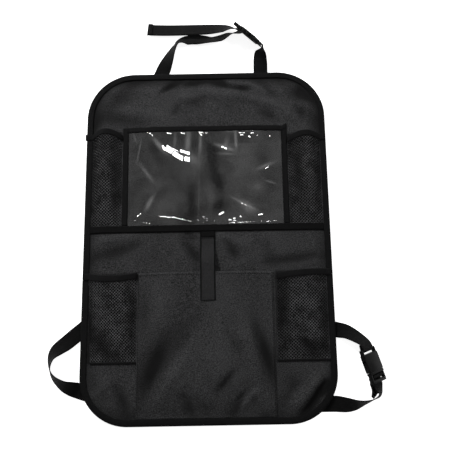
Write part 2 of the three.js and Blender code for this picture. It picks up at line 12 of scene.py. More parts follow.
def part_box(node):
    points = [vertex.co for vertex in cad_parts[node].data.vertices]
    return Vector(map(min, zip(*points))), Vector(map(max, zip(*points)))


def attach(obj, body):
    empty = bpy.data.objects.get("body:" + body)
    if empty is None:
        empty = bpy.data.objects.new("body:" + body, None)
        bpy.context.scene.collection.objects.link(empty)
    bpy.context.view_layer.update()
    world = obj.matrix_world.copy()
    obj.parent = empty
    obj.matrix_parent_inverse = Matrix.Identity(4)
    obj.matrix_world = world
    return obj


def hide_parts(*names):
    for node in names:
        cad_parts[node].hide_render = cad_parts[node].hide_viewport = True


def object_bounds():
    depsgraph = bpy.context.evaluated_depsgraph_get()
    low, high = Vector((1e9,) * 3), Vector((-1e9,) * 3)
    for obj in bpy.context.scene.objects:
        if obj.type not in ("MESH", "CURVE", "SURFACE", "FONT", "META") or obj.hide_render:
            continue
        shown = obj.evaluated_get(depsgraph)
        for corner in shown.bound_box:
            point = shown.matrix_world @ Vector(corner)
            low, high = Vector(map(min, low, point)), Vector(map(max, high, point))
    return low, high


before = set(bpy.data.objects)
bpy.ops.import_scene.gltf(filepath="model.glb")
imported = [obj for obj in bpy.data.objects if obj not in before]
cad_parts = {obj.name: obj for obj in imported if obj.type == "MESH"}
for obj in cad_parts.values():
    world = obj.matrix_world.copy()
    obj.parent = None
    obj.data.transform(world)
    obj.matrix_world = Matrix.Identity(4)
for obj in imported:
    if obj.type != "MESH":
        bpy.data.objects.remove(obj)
cad_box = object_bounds()
mm = 0.001


def cad_place(node):
    """The low and high corner of a solid, in millimetres from the middle of the panel's back."""
    return [corner / mm - PANEL_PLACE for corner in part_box(node)]


panel_box = [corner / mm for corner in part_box("back_panel")]
PANEL_PLACE = (panel_box[0] + panel_box[1]) / 2
PANEL_PLACE.z = panel_box[0].z
TABLE_Z = cad_box[0].z / mm - PANEL_PLACE.z


def to_metres(points):
    """Points round the panel's back as plain lists for a mesh."""
    return ((np.reshape(points, (-1, 3)) + np.array(PANEL_PLACE)) * mm).tolist()


# Camera: held a metre above the organizer and looking almost straight down, from a little towards its foot.
# Its place, its lens and its small roll were fitted to the photographed panel's outline.
def placed(name, data):
    """An object in the scene."""
    thing = bpy.data.objects.new(name, data)
    bpy.context.scene.collection.objects.link(thing)
    return thing


camera = placed("camera", bpy.data.cameras.new("camera"))
bpy.context.scene.camera = camera
camera.data.sensor_width = 36
camera.data.lens = 46.22
camera.data.clip_start = 0.01
aim = (Vector((38.75, 17.67, 0)) + PANEL_PLACE) * mm
lean_back = math.radians(11.59)
roll = math.radians(-1.04)
distance = 1.0
camera.matrix_world = (
    Matrix.Translation(aim)
    @ Matrix.Rotation(lean_back, 4, "X")
    @ Matrix.Rotation(roll, 4, "Z")
    @ Matrix.Translation((0, 0, distance))
)


# Back panel: one cut of black oxford cloth with rounded corners, lying flat with a few soft rumples that
# also lift what is sewn on it.
class Value:
    """A number that nodes work out, so that weaves and masks can be written as sums."""

    def __init__(self, finish, socket):
        self.finish = finish
        self.socket = socket

    def __add__(self, other):
        return self.finish.math("ADD", self, other)

    def __sub__(self, other):
        return self.finish.math("SUBTRACT", self, other)

    def __rsub__(self, other):
        return self.finish.math("SUBTRACT", other, self)

    def __mul__(self, other):
        return self.finish.math("MULTIPLY", self, other)


class Finish:
    """One material. Plain values sit on the shader's own sockets, and nodes feed the ones that vary."""

    def __init__(self, name, plain):
        self.material = bpy.data.materials.new(name)
        self.material.use_nodes = True
        self.tree = self.material.node_tree
        self.shader = self.tree.nodes["Principled BSDF"]
        for socket, value in plain.items():
            self.shader.inputs[socket].default_value = value

    def feed(self, socket, value):
        if isinstance(value, Value):
            self.tree.links.new(value.socket, socket)
        else:
            socket.default_value = value

    def node(self, kind, settings=None, sockets=None, out=0):
        made = self.tree.nodes.new("ShaderNode" + kind)
        for name, value in (settings or {}).items():
            setattr(made, name, value)
        for name, value in (sockets or {}).items():
            self.feed(made.inputs[name], value)
        return Value(self, made.outputs[out])

    def math(self, operation, *values):
        return self.node("Math", {"operation": operation}, dict(enumerate(values)))

    def sine(self, turns):
        return self.math("SINE", turns * (2 * math.pi))

    def axes(self, source):
        """The coordinates of a texture source, as three numbers in metres."""
        place = self.node("TexCoord", out=source)
        return [self.node("SeparateXYZ", sockets={0: place}, out=i) for i in range(3)]

    def noise(self, scale, detail=2.0, stretch=(1, 1, 1)):
        place = self.node("TexCoord", out="Object")
        place = self.node("Mapping", sockets={"Vector": place, "Scale": stretch})
        return self.node("TexNoise", sockets={"Vector": place, "Scale": scale, "Detail": detail})

    def stored(self, name):
        """A value that the mesh keeps at its points."""
        return self.node("Attribute", {"attribute_name": name}, out=2)

    def shade(self, share, dark, light):
        """Greys from dark to light, as the share goes from 0 to 1."""
        colours = {0: share, 6: (*grey(dark), 1), 7: (*grey(light), 1)}
        self.feed(self.shader.inputs["Base Color"], self.node("Mix", {"data_type": "RGBA"}, colours, 2))

    def emboss(self, height, depth):
        """Relief that is too fine for the mesh."""
        bump = self.node("Bump", sockets={"Height": height, "Distance": depth})
        self.feed(self.shader.inputs["Normal"], bump)


def grey(level):
    """A grey with the faint blue of black dye."""
    return (level, level, level * 1.03)


def cloth_finish(name, dark, light):
    """Oxford cloth: plain weave of doubled yarns, with a speckle of duller and brighter ones. Only its
    front has the painted shade of its folds, and the painted light on their ridges."""
    yarn = 0.0009
    finish = Finish(name, {"Roughness": 0.75, "Specular IOR Level": 0.1, "Sheen Weight": 0.02})
    x, y, _ = finish.axes("Object")
    warp = finish.sine(x * (1 / yarn))
    weft = finish.sine(y * (1 / yarn))
    over = finish.math("GREATER_THAN", finish.sine(x * (0.5 / yarn)) * finish.sine(y * (0.5 / yarn)), 0)
    weave = warp * warp * over + weft * weft * (1 - over)
    speckle = finish.noise(640, 2)
    patch = finish.noise(14, 2)
    on_front = finish.math("GREATER_THAN", finish.axes("Normal")[2], 0)
    shadow = finish.stored("shadow") * on_front
    share = weave * 0.2 + speckle * speckle * 2.6 + patch * 0.5 - 0.5
    finish.shade(share * (1 - shadow), dark, light)
    creases = finish.noise(38, 2, (1, 0.6, 1))
    finish.emboss(weave * 0.08 + speckle * 0.04 + creases, 0.002)
    return finish.material


def smooth(a, b, x):
    """A soft step from 0 at a to 1 at b."""
    t = np.clip((x - a) / (b - a), 0, 1)
    return t * t * (3 - 2 * t)


def fold(x, y, start, end, width, height, blunt=4):
    """One soft fold from start to end: a ridge, or a hollow where height is negative."""
    run = np.subtract(end, start)
    length = np.hypot(*run)
    along = ((x - start[0]) * run[0] + (y - start[1]) * run[1]) / length**2
    aside = ((x - start[0]) * run[1] - (y - start[1]) * run[0]) / length
    return height * np.exp(-((aside / width) ** 2)) * np.exp(-((np.abs(along - 0.5) / 0.5) ** blunt))


HALF_WIDTH, HALF_HEIGHT, _ = cad_place("edge_binding")[1]
TOP_RADIUS = 82
FOOT_RADIUS = 78
PANEL_THICK = 1.6


def half_width(y, inset=0):
    """Half the panel's width at a height y, with its rounded corners, taken in by inset."""
    radius = np.where(y > 0, TOP_RADIUS, FOOT_RADIUS) - inset
    into = np.maximum(np.abs(y) - (HALF_HEIGHT - inset - radius), 0)
    return HALF_WIDTH - inset - radius + np.sqrt(np.maximum(radius**2 - into**2, 0))


# Folds of the panel: start, end, width and height, from its head to its foot
PANEL_FOLDS = [
    ((8, 287), (43, 273), 6, -3.6), ((43, 273), (88, 268), 5, -4.2), ((32, 285), (73, 278), 5, 3.0),
    ((73, 278), (113, 258), 6, 3.0), ((91, 279), (124, 250), 7, -3.0), ((-48, 249), (2, 260), 9, 2.6),
    ((2, 260), (61, 254), 9, 2.6), ((61, 254), (130, 232), 7, 3.0), ((130, 232), (158, 205), 8, 2.6),
    ((-34, 235), (5, 250), 8, -2.2), ((84, 243), (126, 206), 9, -2.6), ((19, 241), (60, 235), 8, -1.4),
    ((-80, 263), (-45, 286), 5, -3.4), ((-58, 217), (-42, 247), 6, -2.0),
    ((-175, 217), (-95, 202), 11, -2.6), ((-170, 233), (-78, 214), 11, 2.0),
    ((-39, 275), (4, 288), 5, -2.4), ((156, 268), (187, 247), 9, -4.0), ((154, 227), (175, 217), 8, -2.0),
    ((157, 243), (190, 224), 7, 1.6), ((-196, 200), (-118, 286), 14, -2.4),
    ((128, 284), (194, 196), 10, -1.4), ((31, -2), (52, -38), 6, -4.6), ((17, 7), (60, -16), 6, 2.8),
    ((-37, 10), (-17, -4), 5, -3.0), ((62, -4), (80, -48), 8, 2.6), ((96, -8), (110, -46), 8, -2.2),
    ((-14, -42), (-38, -4), 6, -4.4), ((-44, -46), (-62, -2), 8, 2.2), ((-195, -33), (-108, -10), 8, -3.8),
    ((-190, -6), (-120, 6), 7, 2.0), ((91, -45), (196, -32), 7, -3.6), ((-100, 2), (-70, -42), 10, 2.4),
    ((145, -291), (188, -236), 5, -9.0), ((173, -256), (194, -238), 6, -6.0),
    ((174, -281), (198, -250), 5, 3.0), ((137, -282), (193, -214), 9, 3.4),
    ((130, -226), (147, -248), 9, -2.2), ((112, -281), (140, -241), 8, -2.0),
    ((-128, -284), (-148, -238), 7, -4.4), ((-190, -262), (-150, -222), 9, 2.4),
    ((-184, -226), (-160, -270), 7, -2.6),
]


def in_from_edge(x, y, reach):
    """0 beside the panel's binding, and 1 wherever the panel's edge is at least a reach away."""
    start = 8
    return smooth(start, reach, half_width(y) - np.abs(x)) * smooth(start, reach, HALF_HEIGHT - np.abs(y))


def rumple(x, y):
    """How far the panel and all that is sewn on it stand up at a point."""
    lie = 3.4 + 0.7 * np.sin(x / 61 + 1) * np.sin(y / 83 + 2) + sum(fold(x, y, *one) for one in PANEL_FOLDS)
    soft = (lie + np.sqrt(lie**2 + 0.5)) / 2
    return soft * in_from_edge(x, y, 36)


def fold_shade_and_ridge_light(x, y, folds):
    """Painted shade: how much less light reaches the hollows of folded cloth. It is below nothing on the
    ridges, which are painted lighter.
    """
    dark_depth = 5.5
    lie = sum(fold(x, y, start, end, 1.5 * width, height, blunt=2) for start, end, width, height in folds)
    return np.clip(-lie / dark_depth, -0.3, 0.95)


def panel_shadow(x, y):
    """Painted shade: how much less light reaches the panel, in its folds, beside its binding and behind the
    nets, with painted light on the fold ridges.
    """
    head = smooth(150, 220, y)
    shadow = fold_shade_and_ridge_light(x, y, PANEL_FOLDS) * (1 + 0.6 * head)
    shadow = shadow + (0.5 + 0.35 * head) * (1 - in_from_edge(x, y, 34))
    for place in ("upper_left", "upper_right", "lower_left", "lower_right"):
        low, high = cad_place(f"{place}_net")
        beside = smooth(-2, 3, x - low.x) * smooth(-2, 3, high.x - x)
        shadow = np.maximum(shadow, beside * smooth(-1, 2, y - low.y) * smooth(-3, 3, high.y - y))
    return np.minimum(shadow, 1)


def grid_faces(rows, columns, round_again=False):
    """Faces of a grid of points, row by row; round_again joins the last row to the first."""
    faces = []
    for j in range(rows if round_again else rows - 1):
        for i in range(columns - 1):
            a, b = j * columns + i, (j + 1) % rows * columns + i
            faces.append((a, a + 1, b + 1, b))
    return faces


def finish_piece(piece, material, replaced=()):
    """What every piece gets: its material, its body and the solids that it stands for."""
    piece.data.materials.append(material)
    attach(piece, "root")
    if replaced:
        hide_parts(*replaced)
    return piece


def keep(mesh, name, values):
    """Stores a value for each of the mesh's points, which its material reads."""
    mesh.attributes.new(name, "FLOAT", "POINT").data.foreach_set("value", values.ravel())


def cloth_piece(
    name, points, thickness, material, replaced=(), round_again=False, offset=-1.0, kept=None
):
    """Cloth or tape over a grid of points (rows, columns, 3), with its thickness laid behind it."""
    rows, columns, _ = points.shape
    mesh = bpy.data.meshes.new(name)
    mesh.from_pydata(to_metres(points), [], grid_faces(rows, columns, round_again))
    steps_along = np.linalg.norm(np.diff(points, axis=0, prepend=points[:1]), axis=2)[:, columns // 2]
    steps_across = np.linalg.norm(np.diff(points, axis=1, prepend=points[:, :1]), axis=2)[rows // 2]
    along, across = np.cumsum(steps_along) * mm, np.cumsum(steps_across) * mm
    layer = mesh.uv_layers.new(name="cut").data
    for face in mesh.polygons:
        for loop in face.loop_indices:
            vertex = mesh.loops[loop].vertex_index
            layer[loop].uv = (along[vertex // columns], across[vertex % columns])
    for kept_name, values in (kept or {}).items():
        keep(mesh, kept_name, values)
    piece = placed(name, mesh)
    thick = piece.modifiers.new("thickness", "SOLIDIFY")
    thick.thickness = thickness * mm
    thick.offset = offset
    mesh.shade_smooth()
    return finish_piece(piece, material, replaced)


def panel_grid(columns, rows, inset, height):
    """Points over the whole panel, closer together towards its head and foot, where the corners turn."""
    t = np.linspace(-1, 1, rows)
    y = (HALF_HEIGHT - inset) * (0.6 * t + 0.4 * np.sin(t * math.pi / 2))
    u = np.linspace(-1, 1, columns)
    x = np.outer(half_width(y, inset), u)
    y = np.repeat(y[:, None], columns, 1)
    return np.stack([x, y, height(x, y)], 2)


panel_cloth = cloth_finish("panel_cloth", 0.003, 0.052)
panel_points = panel_grid(150, 210, 1.1, lambda x, y: PANEL_THICK + rumple(x, y))
panel = cloth_piece(
    "panel_cloth",
    panel_points,
    PANEL_THICK,
    panel_cloth,
    ["back_panel"],
    kept={"shadow": panel_shadow(panel_points[..., 0], panel_points[..., 1])},
)
2 * HALF_WIDTH * mm
2 * HALF_HEIGHT * mm


# Edge binding: black woven tape folded over the panel's whole edge, front and back alike. One line of
# stitches holds it.
def tape_finish(name, dark, light, rib):
    """Woven tape with fine ribs across its length."""
    finish = Finish(name, {"Roughness": 0.85, "Specular IOR Level": 0.05})
    along, across, _ = finish.axes("UV")
    ribs = finish.sine(along * (1 / rib))
    speckle = finish.noise(700, 2)
    finish.shade(ribs * ribs * 0.4 + speckle * 0.8 - 0.2, dark, light)
    finish.emboss(ribs * 0.5 + speckle * 0.5 + finish.sine(across * 900) * 0.2, 0.0002)
    return finish.material


BINDING_WIDTH = 10
TAPE_THICK = 0.8
SEWN = PANEL_THICK + 0.3
LEG = SEWN + TAPE_THICK


def outline_points(corner_steps, side_steps):
    """Points round the panel's outline with the directions that lead inward."""
    corners = [(1, 1, TOP_RADIUS, 0), (-1, 1, TOP_RADIUS, 90)]
    corners += [(-1, -1, FOOT_RADIUS, 180), (1, -1, FOOT_RADIUS, 270)]
    arcs = []
    for side, head, radius, start in corners:
        angles = np.radians(np.linspace(start, start + 90, corner_steps))
        out = np.stack([np.cos(angles), np.sin(angles)], 1)
        centre = np.array([side * (HALF_WIDTH - radius), head * (HALF_HEIGHT - radius)])
        arcs.append((centre + radius * out, -out))
    points, inward = [], []
    for k, (arc, into) in enumerate(arcs):
        after, into_after = (a[0] for a in arcs[(k + 1) % 4])
        share = np.linspace(0, 1, side_steps)[1:-1, None]
        points += [arc, arc[-1] * (1 - share) + after * share]
        inward += [into, into[-1] * (1 - share) + into_after * share]
    return np.concatenate(points), np.concatenate(inward)


edge_tape = tape_finish("edge_tape", 0.002, 0.011, 0.0011)
edge, inward = outline_points(24, 42)
fold_section = [(BINDING_WIDTH, LEG - 0.15), (BINDING_WIDTH - 0.6, LEG), (6, LEG + 0.1), (2.5, LEG)]
fold_section += [(1.0, LEG - 0.5), (0.25, LEG - 1.1), (0.0, 0.8), (0.25, -0.2), (1.0, -0.75), (2.5, -1.1)]
fold_section += [(BINDING_WIDTH, -1.1)]
binding_points = np.empty((len(edge), len(fold_section), 3))
wave = 0.25 * np.sin(np.arange(len(edge)) * 1.7) * np.cos(np.arange(len(edge)) * 0.43)
for i, (into, height) in enumerate(fold_section):
    binding_points[:, i, :2] = edge + inward * (into + (wave[:, None] if i < 3 else 0))
    binding_points[:, i, 2] = height
binding_points = binding_points[:, ::-1]
cloth_piece(
    "edge_binding_tape", binding_points, TAPE_THICK, edge_tape, ["edge_binding"], True
)


# Thread: every seam is a row of lockstitches in black polyester, each stitch a short rounded bead that dips
# at both ends.
def thread_finish():
    finish = Finish("thread", {"Roughness": 0.6, "Specular IOR Level": 0.05, "Base Color": (*grey(0.002), 1)})
    finish.emboss(finish.noise(3000, 1), 0.00005)
    return finish.material


def stitches(name, lines, length=3.0, gap=0.9, width=0.55, under=False):
    """Rows of stitches along lines of points, as one piece."""
    side_count = 6
    flatness = 0.7
    rings = [(-0.5, 0.25, -0.25), (-0.3, 0.9, 0.0), (0.3, 0.9, 0.0), (0.5, 0.25, -0.25)]
    vertices, faces = [], []
    up = np.array([0.0, 0.0, -1.0 if under else 1.0])
    for line in lines:
        line = np.asarray(line, float)
        reach = np.concatenate([[0], np.cumsum(np.linalg.norm(np.diff(line, axis=0), axis=1))])
        for middle in np.arange(length / 2, reach[-1] - length / 2 + 0.01, length + gap):
            at = np.array([np.interp(middle, reach, line[:, k]) for k in range(3)])
            ahead = np.array([np.interp(middle + length / 2, reach, line[:, k]) for k in range(3)])
            along = (ahead - at) / np.linalg.norm(ahead - at)
            side = np.cross(up, along)
            side /= np.linalg.norm(side)
            base = len(vertices)
            for where, wide, rise in rings:
                for k in range(side_count):
                    turn = 2 * math.pi * k / side_count
                    spread = side * math.cos(turn) + up * math.sin(turn) * flatness
                    vertices.append(at + along * where * length + up * rise + spread * wide * width / 2)
            for r in range(len(rings) - 1):
                for k in range(side_count):
                    a, b = base + r * side_count, base + (r + 1) * side_count
                    m = (k + 1) % side_count
                    faces.append((a + k, a + m, b + m, b + k))
            faces.append(tuple(base + k for k in reversed(range(side_count))))
            faces.append(tuple(base + (len(rings) - 1) * side_count + k for k in range(side_count)))
    mesh = bpy.data.meshes.new(name)
    mesh.from_pydata(to_metres(vertices), [], faces)
    mesh.shade_smooth()
    finish_piece(placed(name, mesh), thread)


def drawn(x0, y0, x1, y1, height, steps=60):
    """A straight line of points over the cloth, at a height that depends on x and y."""
    x, y = np.linspace(x0, x1, steps), np.linspace(y0, y1, steps)
    return np.stack([x, y, height(x, y)], 1)


thread = thread_finish()
SEAM_IN = 1.8
edge_seam = np.column_stack([edge + inward * (BINDING_WIDTH - SEAM_IN), np.full(len(edge), LEG + 0.1)])
edge_seam = np.concatenate([edge_seam, edge_seam[:1]])
# These real stitches are drawn wide, so that their black line also serves as painted shade along the
# binding's inner edge.
stitches("edge_stitches", [edge_seam], width=1.4)
under_seam = edge_seam - [0, 0, LEG + 1.3]
stitches("edge_stitches_behind", [under_seam], under=True)


# Divider band: tape sewn straight across the panel along both its edges. It closes the foot of the window
# and of both upper nets.
band_low, band_high = cad_place("divider_band")
OVER_FILM = TAPE_THICK + 0.4


def on_panel(rise):
    """The height of what lies on the panel, at any point."""
    return lambda x, y: SEWN + rise + rumple(x, y)


def shares(x, y, low, high):
    """How far points lie across and up between two corners, as shares."""
    return (x - low.x) / (high.x - low.x), (y - low.y) / (high.y - low.y)


def flat_tape(name, low, high, material, replaced, columns, rows):
    """A straight length of tape sewn flat on the panel, with slightly rounded edges."""
    x, y = np.meshgrid(np.linspace(low.x, high.x, columns), np.linspace(low.y, high.y, rows))
    upright = high.y - low.y > high.x - low.x
    u, v = shares(x, y, low, high)
    rounding = 0.15 * (2 * (u if upright else v) - 1) ** 4
    points = np.stack([x, y, on_panel(OVER_FILM)(x, y) - rounding], 2)
    if not upright:
        points = points.transpose(1, 0, 2)[::-1]
    cloth_piece(name, points, TAPE_THICK * 0.8, material, [replaced])


band_tape = tape_finish("band_tape", 0.0015, 0.008, 0.0012)
flat_tape("divider_tape", band_low, band_high, band_tape, "divider_band", 160, 7)
on_tape = on_panel(OVER_FILM + 0.1)
INSET = 2
band_seams = [
    drawn(band_low.x + INSET, y, band_high.x - INSET, y, on_tape, 160)
    for y in (band_low.y + INSET, band_high.y - INSET)
]
stitches("divider_stitches", band_seams)


# Window: a sheet of clear vinyl film, creased from being folded in its packing. Its foot is under the band,
# its sides are sewn under tapes, and tape is folded over its mouth.
film_low, film_high = cad_place("window_film")
FILM_THICK = 0.4
FILM_BULGE = 2.8
MOUTH_LIFT = 1.6
HEAD_LAMP = (0.12, 1.05, 1.76)
CREASE = 1.3

# Flat facets of the film that catch the lamp behind the head: middle, half length, half width and heading
GLINTS = [
    (-58, 154, 14, 6.5, -27), (-46, 143.5, 13, 5.5, -30), (-33, 139, 5, 5, 0), (-37, 152, 9, 3, -8),
    (-74, 162, 3, 2.2, -70), (-97, 187, 3, 1.2, 0), (-93, 183, 1.8, 1, 30), (-64, 186, 5, 1, 0),
    (-41, 186, 4, 1, 0), (-8, 186, 4.2, 1.4, 0), (-8, 183, 1.4, 1.8, 0), (1, 186, 1.2, 0.8, 0),
    (62, 184.5, 5.2, 1.4, 0), (62, 181.5, 2.4, 1.6, 0), (75, 178, 2.8, 1.6, -56), (80, 184, 2.4, 1, 0),
    (89, 180, 1, 1, -44), (111, 179, 1.6, 1, -48), (31, 159, 5, 1.2, -12), (104, 122, 3.8, 1.5, 18),
    (63, 58, 5, 1, -37), (25, 43, 6, 1.5, 35), (43, 31, 6.5, 1, -6), (46, 34, 3, 1.2, 12),
    (57, 37, 2, 1.3, -63), (91, 40, 4, 1.3, 16), (-69, 38.5, 11, 0.8, -5), (-49, 35.5, 9, 0.7, -13),
    (-33, 31.5, 8, 0.6, -14), (42, 26, 7, 1, 4), (60, 27, 10, 0.5, 3), (83, 28, 11, 0.2, 1),
    (109, 28, 9, 0.1, -2), (-99, 37, 7, 0.3, -42), (-121, 41, 2.4, 0.2, -24), (-114, 43, 4, 0.3, 44),
    (-129, 46, 1.2, 0.6, -28), (-128, 31, 1.4, 0.6, -41), (-114, 31, 2, 0.6, -59), (-103, 29, 4.8, 0.3, 1),
    (-122, 32, 2, 0.3, 64), (-107, 36, 3, 0.2, 68), (-3, 35, 7, 0.5, -48), (-15, 32, 1.6, 0.8, -46),
    (-9, 41.5, 3, 0.2, -26), (-8, 33, 5.6, 0.2, -72), (-15, 38, 3, 0.3, 72), (11, 30, 3.2, 0.3, 2),
    (20, 28, 1.4, 0.5, -41),
]


def slope_for_glint(x, y):
    """The slope at which a facet of the film reflects the lamp behind the head towards the photographer."""
    usual_height = 6.0
    here = np.array([x, y, usual_height])
    to_camera = np.array(camera.matrix_world.translation / mm - PANEL_PLACE) - here
    to_lamp = np.array(HEAD_LAMP) / mm - np.array(PANEL_PLACE) - here
    between = to_camera / np.linalg.norm(to_camera) + to_lamp / np.linalg.norm(to_lamp)
    return -between[:2] / between[2]


def inside(share, reach):
    """1 in the middle, and 0 at both ends, where it falls over a reach."""
    return smooth(0, reach, share) * smooth(0, reach, 1 - share)


def calm_film(x, y):
    """The film's upper face without its facets: its crown and the broad folds of its packing."""
    u, v = shares(x, y, film_low, film_high)
    crown = inside(u, 0.2) * smooth(0, 0.3, v)
    rise = FILM_BULGE * crown + MOUTH_LIFT * smooth(0.82, 0.95, v)
    rise += fold(x, y, (10, 186), (28, 40), 12, -1.6) + fold(x, y, (84, 108), (124, 138), 14, -0.7)
    rise += fold(x, y, (-116, 130), (-88, 98), 10, -0.6) + fold(x, y, (46, 70), (84, 44), 11, -0.8)
    rise += fold(x, y, (-90, 110), (-30, 80), 20, 0.8)
    unsewn = inside(u, 0.03) * smooth(0, 0.02, v)
    return SEWN + FILM_THICK + rumple(x, y) + np.maximum(rise, 0) * unsewn


def film_height(x, y):
    """The film's upper face with its facets pressed in."""
    u, v = shares(x, y, film_low, film_high)
    unsewn = inside(u, 0.02) * smooth(0, 0.012, v)
    height = calm_film(x, y)
    for at_x, at_y, half_length, half_width, heading in GLINTS:
        turn = math.radians(heading)
        dx, dy = x - at_x, y - at_y
        past_end = np.abs(dx * math.cos(turn) + dy * math.sin(turn)) - half_length
        past_side = np.abs(dy * math.cos(turn) - dx * math.sin(turn)) - half_width
        past_edge = np.hypot(np.maximum(past_end, 0), np.maximum(past_side, 0))
        share = (1 - smooth(0, CREASE, past_edge)) * unsewn
        lean_x, lean_y = slope_for_glint(at_x, at_y)
        height = height * (1 - share) + (calm_film(at_x, at_y) + lean_x * dx + lean_y * dy) * share
    return height


# Painted reflection on the film, strokes where it reflects more and shows lighter, or less and shows darker:
# start, end, width and how much more it reflects
PAINTED_GLEAMS = [
    ((-90, 176), (-70, 153), 3.5, 0.6), ((-53, 186), (-55, 160), 2.4, 0.2),
    ((-30, 190), (-33, 150), 4.2, 0.5), ((-9, 188), (-11, 150), 2.4, 0.35),
    ((-44, 152), (-14, 132), 8, 0.3), ((-112, 129), (-91, 100), 3, 0.26),
    ((-91, 74), (-103, 52), 3.4, 0.45), ((18, 165), (44, 155), 3, 0.6), ((37, 176), (30, 156), 4.6, 0.2),
    ((20, 149), (47, 147), 2, 0.25), ((90, 120), (113, 131), 2.8, 0.4), ((102, 99), (117, 94), 1.8, 0.26),
    ((80, 88), (95, 89), 5, 0.1), ((48, 67), (80, 50), 1.8, 0.5), ((58, 64), (80, 44), 6, 0.3),
    ((51, 188), (52, 162), 2.2, 0.5), ((-12, 112), (-14, 40), 1.4, 0.08), ((7, 95), (7, 40), 5.8, 0.05),
    ((60, 150), (70, 40), 34, 0.04), ((-85, 75), (-59, 47), 14, 0.05), ((110, 165), (124, 130), 12, 0.05),
    ((5, 184), (13, 113), 10, -0.1), ((13, 118), (28, 71), 9, -0.1), ((27, 75), (12, 42), 9, -0.08),
    ((-25, 95), (-26, 28), 9, -0.07), ((-94, 170), (-83, 140), 10, -0.08),
    ((-113, 172), (-119, 140), 1.2, 0.25), ((-126, 186), (-121, 172), 1.2, 0.2),
]


def film_finish():
    """Clear vinyl: it shows what is behind it, with a gloss that grows with the angle, and painted reflection
    in cloudy patches and strokes where it reflects more or less.
    """
    finish = Finish("clear_film", {"Base Color": (0.9, 0.9, 0.9, 1), "Metallic": 1.0, "Roughness": 0.09})
    gloss = finish.node("Fresnel", sockets={"IOR": 1.5})
    painted_gleam = finish.noise(28, 6, (1, 1.4, 1)) * 0.24 + finish.stored("painted_gleam")
    finish.feed(finish.shader.inputs["Alpha"], finish.math("MAXIMUM", gloss * 1.5 + painted_gleam - 0.075, 0.03))
    finish.emboss(finish.noise(60, 2), 0.0001)
    return finish.material


# The film's rows are closer together at its foot and mouth, where it is crinkled
UNDER_TAPE = 3
CRINKLED = 32
film_foot, film_head = film_low.y - UNDER_TAPE, film_high.y
foot_rows = np.linspace(film_foot, film_foot + CRINKLED, 56)
middle_rows = np.linspace(film_foot + CRINKLED, film_head - CRINKLED, 72)[1:-1]
head_rows = np.linspace(film_head - CRINKLED, film_head, 48)
film_columns = np.linspace(film_low.x - UNDER_TAPE, film_high.x + UNDER_TAPE, 276)
film_x, film_y = np.meshgrid(film_columns, np.concatenate([foot_rows, middle_rows, head_rows]))
cloth_piece(
    "window_film_sheet",
    np.stack([film_x, film_y, film_height(film_x, film_y)], 2),
    FILM_THICK,
    film_finish(),
    ["window_film"],
    kept={"painted_gleam": sum(fold(film_x, film_y, *one, blunt=2) for one in PAINTED_GLEAMS)},
)

BELOW_MOUTH = 6
for side in ("left", "right"):
    low, high = cad_place(f"window_{side}_tape")
    flat_tape(f"window_{side}_binding", low, high, edge_tape, f"window_{side}_tape", 7, 80)
    seam_x = high.x - INSET if side == "left" else low.x + INSET
    stitches(f"window_{side}_stitches", [drawn(seam_x, low.y, seam_x, high.y - BELOW_MOUTH, on_tape)])


FOLDED_THICK = 0.7


def folded_mouth(name, x, mouth, height, width, edge_y, replaced):
    """Tape folded over a pocket's mouth: under it, round its edge and back over it, held by one seam."""
    wraps = [(-width, -1.2), (-width * 0.5, -1.2), (-0.8, -1.1), (0.5, -0.75), (0.9, -0.1), (0.5, 0.55)]
    wraps += [(-0.8, 0.85), (-width * 0.35, 0.95), (-width * 0.7, 0.95), (-width + 0.4, 0.9), (-width, 0.75)]
    points = np.empty((len(x), len(wraps), 3))
    for i, (into, rise) in enumerate(wraps):
        y = mouth + into
        points[:, i] = np.stack([x, y, height(x, np.minimum(y, edge_y)) + rise], 1)
    cloth_piece(name, points[:, ::-1], FOLDED_THICK, edge_tape, [replaced], offset=0)
    seam_y = mouth - width + SEAM_IN
    seam = np.stack([x, seam_y, height(x, np.minimum(seam_y, edge_y)) + 1.35], 1)
    stitches(name + "_stitches", [seam])


top_x = np.linspace(film_low.x - 4.5, film_high.x + 10.5, 200)
top_mouth = film_high.y + 0.6 + 4 * smooth(film_high.x + 2, film_high.x + 10, top_x)
folded_mouth("window_mouth_tape", top_x, top_mouth, film_height, 8, film_high.y, "window_top_binding")


# Net pockets: knitted black net, its lattice on the bias, sewn in along three sides with an elastic tape
# folded over each mouth. They stand a little open, and the net hangs in soft folds.
def net_finish():
    """Shiny black yarn with painted highlights in small light specks, lighter and darker in broad soft
    patches, and the painted shade of its folds.
    """
    finish = Finish("net_yarn", {"Roughness": 0.6, "Specular IOR Level": 0.08})
    painted_highlights = finish.noise(520, 1)
    broad_patches = finish.noise(60, 2)
    share = painted_highlights * 1.8 + broad_patches * 1.4 - 1.1
    finish.shade(share * (1 - finish.stored("shadow")), 0.004, 0.17)
    finish.emboss(finish.noise(2200, 2), 0.0001)
    return finish.material


NET_CELL = 5.2
NET_YARN = 0.65
NET_HEM = 3.2
HEM_THICK = 0.6
ELASTIC_WIDTH = 9.5


